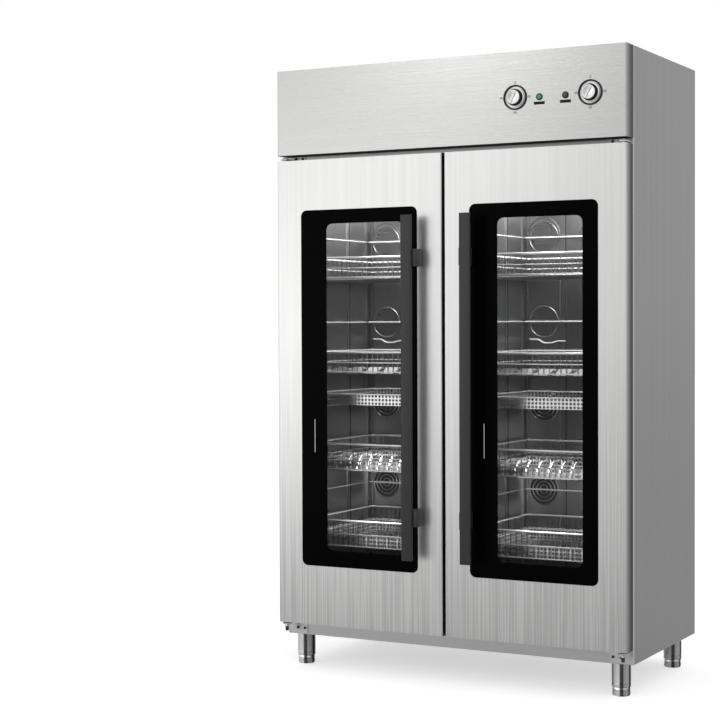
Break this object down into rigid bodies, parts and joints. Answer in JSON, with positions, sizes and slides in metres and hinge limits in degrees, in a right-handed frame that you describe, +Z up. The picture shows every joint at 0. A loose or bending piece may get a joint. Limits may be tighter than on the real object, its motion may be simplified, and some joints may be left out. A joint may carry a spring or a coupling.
{
  "type": "dish sterilizer cabinet",
  "caption": "Upright stainless steel cabinet with glazed doors on pivot hinges, bar handles, timer knobs and lamps above the doors, and wire baskets sliding in each bay.",
  "frame": {"origin": "on the floor, under the centre of the whole cabinet with its handles and rear cable gland", "axes": "+Z up, front with doors and handles towards -Y, +X to the right as seen from the front"},
  "size_m": [1.2, 0.744, 1.95],
  "materials": {
    "brushed_panel": "brushed stainless sheet",
    "brushed_door": "vertically brushed stainless sheet",
    "plain_steel": "satin stainless sheet",
    "liner_steel": "satin stainless liner",
    "chrome_wire": "chromed wire",
    "polished_tube": "polished stainless tube",
    "black_glass": "clear pane with a black printed border",
    "charcoal_metal": "charcoal powder coat",
    "bracket_metal": "dark grey powder coat",
    "black_rubber": "black gasket",
    "black_plastic": "black plastic",
    "knob_metal": "satin turned aluminium",
    "green_lens": "green lamp lens",
    "red_lens": "dark red lamp lens",
    "mineral_wool": "mineral wool",
    "terminal_plastic": "pale terminal plastic",
    "heater_sheath": "heat-tinted steel sheath",
    "zinc_steel": "zinc-plated steel"
  },
  "bodies": {
    "cabinet": {"left_side_panel": "brushed_panel", "right_side_panel": "brushed_panel", "top_cover": "plain_steel", "back_panel": "plain_steel", "base_pan": "plain_steel", "control_fascia": "brushed_panel", "front_frame": "plain_steel", "control_shelf": "zinc_steel", "bay_liner": "liner_steel", "centre_partition": "liner_steel", "insulation_slabs": "mineral_wool", "rack_posts": "plain_steel", "rack_cross_bars": "chrome_wire", "basket_runners": "plain_steel", "duct_covers": "liner_steel", "fan_motors": "zinc_steel", "heaters": "heater_sheath", "temperature_probes": "plain_steel", "timers": "black_plastic", "dial_rings": "black_plastic", "power_lamp": "green_lens", "heating_lamp": "red_lens", "terminal_block": "terminal_plastic", "cable_gland": "black_plastic", "leg_tubes": "polished_tube", "hinge_brackets": "zinc_steel", "hinge_pins": "polished_tube", "bracket_screws": "zinc_steel"},
    "left_door": {"left_door_skin": "brushed_door", "left_door_core": "mineral_wool", "left_door_inner_panel": "plain_steel", "left_door_glass": "black_glass", "left_door_gasket": "black_rubber", "left_door_handle": "charcoal_metal", "left_handle_brackets": "bracket_metal"},
    "right_door": {"right_door_skin": "brushed_door", "right_door_core": "mineral_wool", "right_door_inner_panel": "plain_steel", "right_door_glass": "black_glass", "right_door_gasket": "black_rubber", "right_door_handle": "charcoal_metal", "right_handle_brackets": "bracket_metal"},
    "left_knob": {"left_knob": "knob_metal"},
    "right_knob": {"right_knob": "knob_metal"},
    "left_fan": {"left_fan_wheel": "zinc_steel"},
    "right_fan": {"right_fan_wheel": "zinc_steel"},
    "foot_front_left": {"foot_front_left": "polished_tube"},
    "foot_front_right": {"foot_front_right": "polished_tube"},
    "foot_rear_left": {"foot_rear_left": "polished_tube"},
    "foot_rear_right": {"foot_rear_right": "polished_tube"},
    "left_fourth_basket": {"left_fourth_basket": "chrome_wire"},
    "left_third_basket": {"left_third_basket": "chrome_wire"},
    "left_tray": {"left_tray": "plain_steel"},
    "left_second_basket": {"left_second_basket": "chrome_wire"},
    "left_top_basket": {"left_top_basket": "chrome_wire"},
    "right_fourth_basket": {"right_fourth_basket": "chrome_wire"},
    "right_third_basket": {"right_third_basket": "chrome_wire"},
    "right_tray": {"right_tray": "plain_steel"},
    "right_second_basket": {"right_second_basket": "chrome_wire"},
    "right_top_basket": {"right_top_basket": "chrome_wire"}
  },
  "joints": [
    {"name": "left_door_hinge", "type": "hinge", "parent": "cabinet", "child": "left_door", "pos_m": [-0.582, -0.294, 0.146], "axis": [0, 0, -1], "range_deg": [0, 115]},
    {"name": "right_door_hinge", "type": "hinge", "parent": "cabinet", "child": "right_door", "pos_m": [0.582, -0.294, 0.146], "axis": [0, 0, 1], "range_deg": [0, 115]},
    {"name": "left_knob_turn", "type": "hinge", "parent": "cabinet", "child": "left_knob", "pos_m": [0.245, -0.312, 1.811], "axis": [0, 1, 0], "range_deg": [0, 300]},
    {"name": "right_knob_turn", "type": "hinge", "parent": "cabinet", "child": "right_knob", "pos_m": [0.487, -0.312, 1.811], "axis": [0, 1, 0], "range_deg": [0, 300]},
    {"name": "left_fan_spin", "type": "hinge", "parent": "cabinet", "child": "left_fan", "pos_m": [-0.3, 0.261, 1.414], "axis": [0, 1, 0], "continuous": true},
    {"name": "right_fan_spin", "type": "hinge", "parent": "cabinet", "child": "right_fan", "pos_m": [0.3, 0.261, 1.414], "axis": [0, 1, 0], "continuous": true},
    {"name": "foot_front_left_screw", "type": "slide", "parent": "cabinet", "child": "foot_front_left", "axis": [0, 0, -1], "range_m": [0, 0.025]},
    {"name": "foot_front_right_screw", "type": "slide", "parent": "cabinet", "child": "foot_front_right", "axis": [0, 0, -1], "range_m": [0, 0.025]},
    {"name": "foot_rear_left_screw", "type": "slide", "parent": "cabinet", "child": "foot_rear_left", "axis": [0, 0, -1], "range_m": [0, 0.025]},
    {"name": "foot_rear_right_screw", "type": "slide", "parent": "cabinet", "child": "foot_rear_right", "axis": [0, 0, -1], "range_m": [0, 0.025]},
    {"name": "left_fourth_basket_slide", "type": "slide", "parent": "cabinet", "child": "left_fourth_basket", "axis": [0, -1, 0], "range_m": [0, 0.04]},
    {"name": "left_third_basket_slide", "type": "slide", "parent": "cabinet", "child": "left_third_basket", "axis": [0, -1, 0], "range_m": [0, 0.04]},
    {"name": "left_tray_slide", "type": "slide", "parent": "cabinet", "child": "left_tray", "axis": [0, -1, 0], "range_m": [0, 0.04]},
    {"name": "left_second_basket_slide", "type": "slide", "parent": "cabinet", "child": "left_second_basket", "axis": [0, -1, 0], "range_m": [0, 0.04]},
    {"name": "left_top_basket_slide", "type": "slide", "parent": "cabinet", "child": "left_top_basket", "axis": [0, -1, 0], "range_m": [0, 0.04]},
    {"name": "right_fourth_basket_slide", "type": "slide", "parent": "cabinet", "child": "right_fourth_basket", "axis": [0, -1, 0], "range_m": [0, 0.04]},
    {"name": "right_third_basket_slide", "type": "slide", "parent": "cabinet", "child": "right_third_basket", "axis": [0, -1, 0], "range_m": [0, 0.04]},
    {"name": "right_tray_slide", "type": "slide", "parent": "cabinet", "child": "right_tray", "axis": [0, -1, 0], "range_m": [0, 0.04]},
    {"name": "right_second_basket_slide", "type": "slide", "parent": "cabinet", "child": "right_second_basket", "axis": [0, -1, 0], "range_m": [0, 0.04]},
    {"name": "right_top_basket_slide", "type": "slide", "parent": "cabinet", "child": "right_top_basket", "axis": [0, -1, 0], "range_m": [0, 0.04]}
  ]
}
